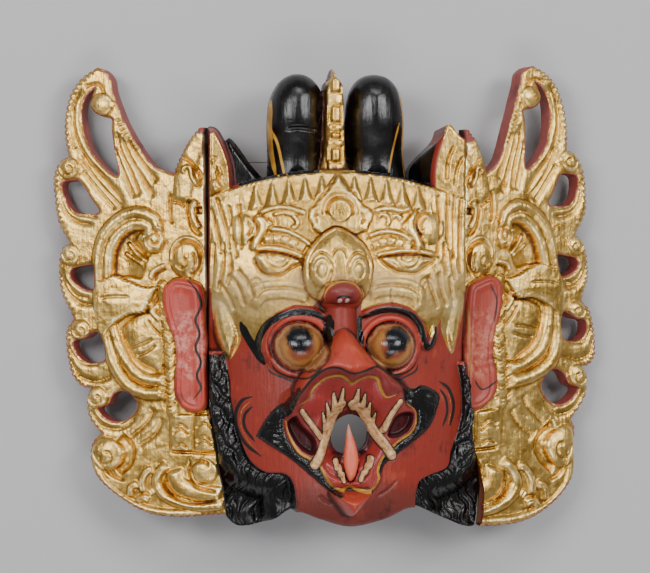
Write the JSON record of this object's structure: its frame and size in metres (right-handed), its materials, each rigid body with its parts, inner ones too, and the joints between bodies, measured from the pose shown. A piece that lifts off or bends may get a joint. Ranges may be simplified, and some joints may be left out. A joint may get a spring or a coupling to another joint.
{
  "type": "carved wooden mask",
  "caption": "Carved and painted wooden bird-demon mask with an open beak, a crowned forehead, a two-lobed topknot and pierced gilded side wings.",
  "frame": {"origin": "middle of the underside of the whole mask's box, on the plane of its back rim", "axes": "+X across the face towards the right-hand wing as seen from the front, +Y up the face, +Z out of the face"},
  "size_m": [0.404, 0.339, 0.1451],
  "materials": {
    "mask_head": "carved wood, painted red and black and gilded on the crown",
    "wing_left": "carved wood, gilded over red, painted red on the ear and the edges",
    "wing_right": "carved wood, gilded over red, painted red on the ear and the edges",
    "tongue": "worn orange-red paint on splintered wood",
    "hanging_wire": "thin dull wire"
  },
  "bodies": {
    "root": {"mask_head": "mask_head", "wing_left": "wing_left", "wing_right": "wing_right", "tongue": "tongue", "hanging_wire": "hanging_wire"}
  },
  "joints": []
}
